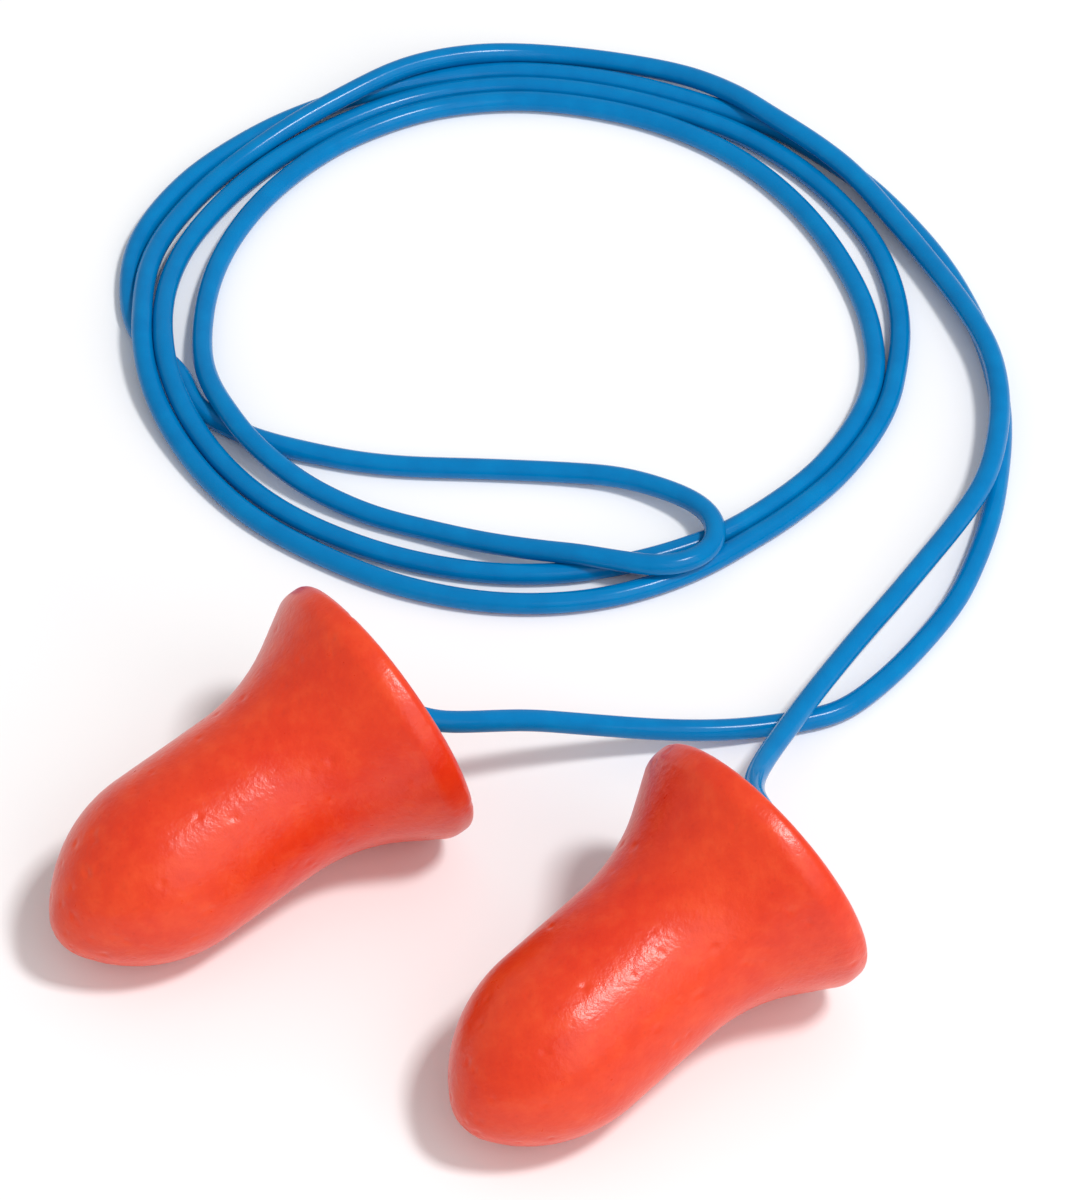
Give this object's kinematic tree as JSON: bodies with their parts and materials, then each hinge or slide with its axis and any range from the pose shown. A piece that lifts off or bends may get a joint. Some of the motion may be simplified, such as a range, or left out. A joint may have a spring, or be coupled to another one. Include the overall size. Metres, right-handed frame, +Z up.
{
  "type": "corded ear plugs",
  "caption": "Bell-shaped foam ear plugs with flared backs and rounded noses, joined by a thin vinyl cord that lies in a loose coil.",
  "frame": {"origin": "on the resting surface, under the middle of the two plugs' box", "axes": "+Z up from the surface, +X to the right along the pair of plugs, +Y towards the coil, so the noses point to -X and -Y"},
  "size_m": [0.057, 0.0895, 0.0168],
  "materials": {
    "foam": "soft slow-recovery polyurethane foam with a smooth, satin moulded skin",
    "glue": "cured clear-amber adhesive",
    "cord": "smooth, satin-glossy vinyl"
  },
  "bodies": {
    "cord": {"cord_coil": "cord", "left_cord_lead": "cord", "right_cord_lead": "cord", "cord_bight": "cord"},
    "left_bend": {"left_cord_bend": "cord"},
    "right_bend": {"right_cord_bend": "cord"},
    "left_plug": {"left_foam_plug": "foam", "left_glue_bond": "glue", "left_cord_end": "cord"},
    "right_plug": {"right_foam_plug": "foam", "right_glue_bond": "glue", "right_cord_end": "cord"}
  },
  "joints": [
    {"name": "left_plug_swing", "type": "hinge", "parent": "cord", "child": "left_bend", "pos_m": [-0.0036, 0.011, 0.00856], "axis": [0, 0, 1], "range_deg": [-25, 25]},
    {"name": "left_plug_lift", "type": "hinge", "parent": "left_bend", "child": "left_plug", "pos_m": [-0.0036, 0.011, 0.00856], "axis": [-0.5878, 0.809, 0], "range_deg": [0, 35]},
    {"name": "right_plug_swing", "type": "hinge", "parent": "cord", "child": "right_bend", "pos_m": [0.018, -0.0001, 0.00856], "axis": [0, 0, 1], "range_deg": [-25, 25]},
    {"name": "right_plug_lift", "type": "hinge", "parent": "right_bend", "child": "right_plug", "pos_m": [0.018, -0.0001, 0.00856], "axis": [-0.6691, 0.7431, 0], "range_deg": [0, 35]}
  ]
}
